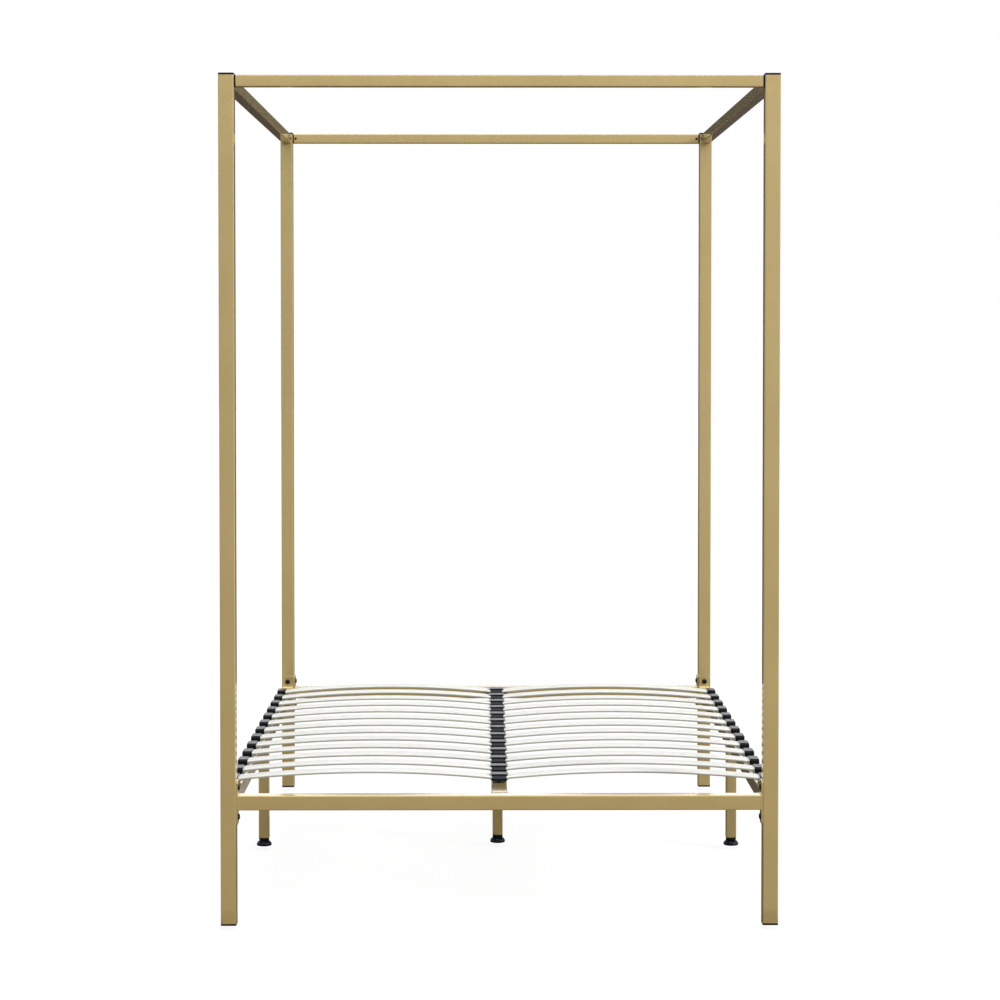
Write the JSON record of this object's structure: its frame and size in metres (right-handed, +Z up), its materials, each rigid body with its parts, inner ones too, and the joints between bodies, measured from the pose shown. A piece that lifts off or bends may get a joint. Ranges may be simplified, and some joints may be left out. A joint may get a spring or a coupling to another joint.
{
  "type": "four poster canopy bed",
  "caption": "Metal four poster bed frame with a square canopy of rails, sprung slats in plastic holders on a centre beam, and adjustable support legs under the middle.",
  "frame": {"origin": "on the floor, under the middle of the bed's outline", "axes": "+X to the right seen from the foot end, +Y from the foot end to the head end, +Z up"},
  "size_m": [1.43, 1.99, 2.18],
  "materials": {
    "gold_frame": "satin champagne gold powder coat",
    "slat_white": "smooth white lacquer on bent birch ply",
    "black_plastic": "moulded, slight sheen",
    "black_fastener": "black zinc",
    "plain_steel": "zinc plated"
  },
  "bodies": {
    "root": {"post_front_left": "gold_frame", "post_front_right": "gold_frame", "post_rear_left": "gold_frame", "post_rear_right": "gold_frame", "front_rail": "gold_frame", "rear_rail": "gold_frame", "left_side_rail": "gold_frame", "right_side_rail": "gold_frame", "centre_beam": "gold_frame", "canopy_front_rail": "gold_frame", "canopy_rear_rail": "gold_frame", "canopy_left_rail": "gold_frame", "canopy_right_rail": "gold_frame", "left_support_leg": "gold_frame", "centre_support_leg": "gold_frame", "right_support_leg": "gold_frame", "slat_left_01": "slat_white", "slat_left_02": "slat_white", "slat_left_03": "slat_white", "slat_left_04": "slat_white", "slat_left_05": "slat_white", "slat_left_06": "slat_white", "slat_left_07": "slat_white", "slat_left_08": "slat_white", "slat_left_09": "slat_white", "slat_left_10": "slat_white", "slat_left_11": "slat_white", "slat_left_12": "slat_white", "slat_left_13": "slat_white", "slat_right_01": "slat_white", "slat_right_02": "slat_white", "slat_right_03": "slat_white", "slat_right_04": "slat_white", "slat_right_05": "slat_white", "slat_right_06": "slat_white", "slat_right_07": "slat_white", "slat_right_08": "slat_white", "slat_right_09": "slat_white", "slat_right_10": "slat_white", "slat_right_11": "slat_white", "slat_right_12": "slat_white", "slat_right_13": "slat_white", "left_slat_holders": "black_plastic", "right_slat_holders": "black_plastic", "centre_slat_holders": "black_plastic", "post_top_caps": "black_plastic", "post_foot_caps": "black_plastic", "canopy_connectors": "black_plastic", "leg_inserts": "black_plastic", "rail_bolts": "black_fastener", "beam_bolts": "black_fastener", "leg_bolts": "black_fastener", "canopy_screws": "black_fastener", "weld_nuts": "plain_steel"},
    "left_pad": {"left_foot_pad": "black_plastic"},
    "left_stem": {"left_foot_stem": "black_plastic"},
    "centre_pad": {"centre_foot_pad": "black_plastic"},
    "centre_stem": {"centre_foot_stem": "black_plastic"},
    "right_pad": {"right_foot_pad": "black_plastic"},
    "right_stem": {"right_foot_stem": "black_plastic"}
  },
  "joints": [
    {"name": "left_foot_height", "type": "slide", "parent": "root", "child": "left_pad", "axis": [0, 0, -1], "range_m": [0, 0.012]},
    {"name": "left_foot_screw", "type": "hinge", "parent": "left_pad", "child": "left_stem", "pos_m": [-0.692, 0.015, 0.018], "axis": [0, 0, -1], "range_deg": [0, 2885]},
    {"name": "centre_foot_height", "type": "slide", "parent": "root", "child": "centre_pad", "axis": [0, 0, -1], "range_m": [0, 0.012]},
    {"name": "centre_foot_screw", "type": "hinge", "parent": "centre_pad", "child": "centre_stem", "pos_m": [0, 0.06, 0.018], "axis": [0, 0, -1], "range_deg": [0, 2885]},
    {"name": "right_foot_height", "type": "slide", "parent": "root", "child": "right_pad", "axis": [0, 0, -1], "range_m": [0, 0.012]},
    {"name": "right_foot_screw", "type": "hinge", "parent": "right_pad", "child": "right_stem", "pos_m": [0.692, 0.015, 0.018], "axis": [0, 0, -1], "range_deg": [0, 2885]}
  ],
  "couplings": [
    {"joint": "left_foot_screw", "follows": "left_foot_height", "rad_per_m": 4188.8},
    {"joint": "centre_foot_screw", "follows": "centre_foot_height", "rad_per_m": 4188.8},
    {"joint": "right_foot_screw", "follows": "right_foot_height", "rad_per_m": 4188.8}
  ]
}
